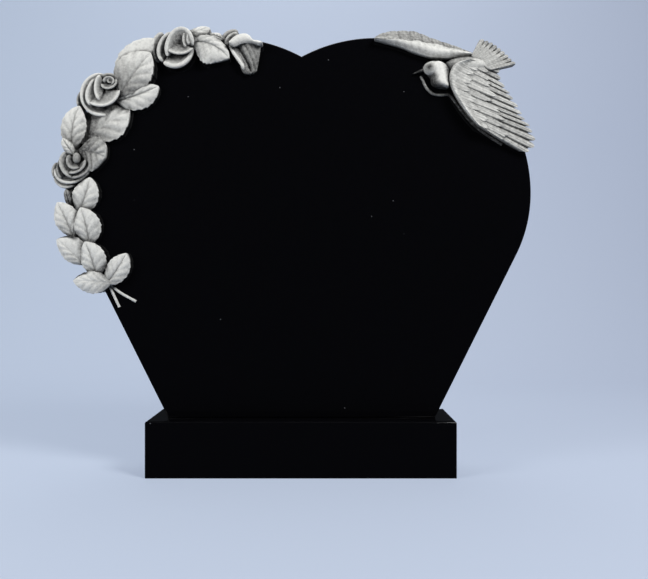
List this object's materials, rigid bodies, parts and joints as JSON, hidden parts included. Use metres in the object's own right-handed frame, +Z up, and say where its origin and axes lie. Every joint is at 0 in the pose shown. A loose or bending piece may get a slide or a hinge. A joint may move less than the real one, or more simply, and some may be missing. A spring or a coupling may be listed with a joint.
{
  "type": "headstone",
  "caption": "Heart-shaped polished granite headstone with a carved rose garland and a flying dove on its edge, standing on a plain plinth.",
  "frame": {"origin": "middle of the plinth's underside", "axes": "+Z up, -Y out of the polished front, +X to the viewer's right along the plinth"},
  "size_m": [1.2679, 0.2, 1.1816],
  "materials": {
    "polished_granite": "black granite polished to a mirror, with a few pale crystals",
    "carved_granite": "the same granite tooled and left matt, pale grey with dark crevices"
  },
  "bodies": {
    "root": {"plinth": "polished_granite", "stele": "polished_granite"}
  },
  "joints": []
}
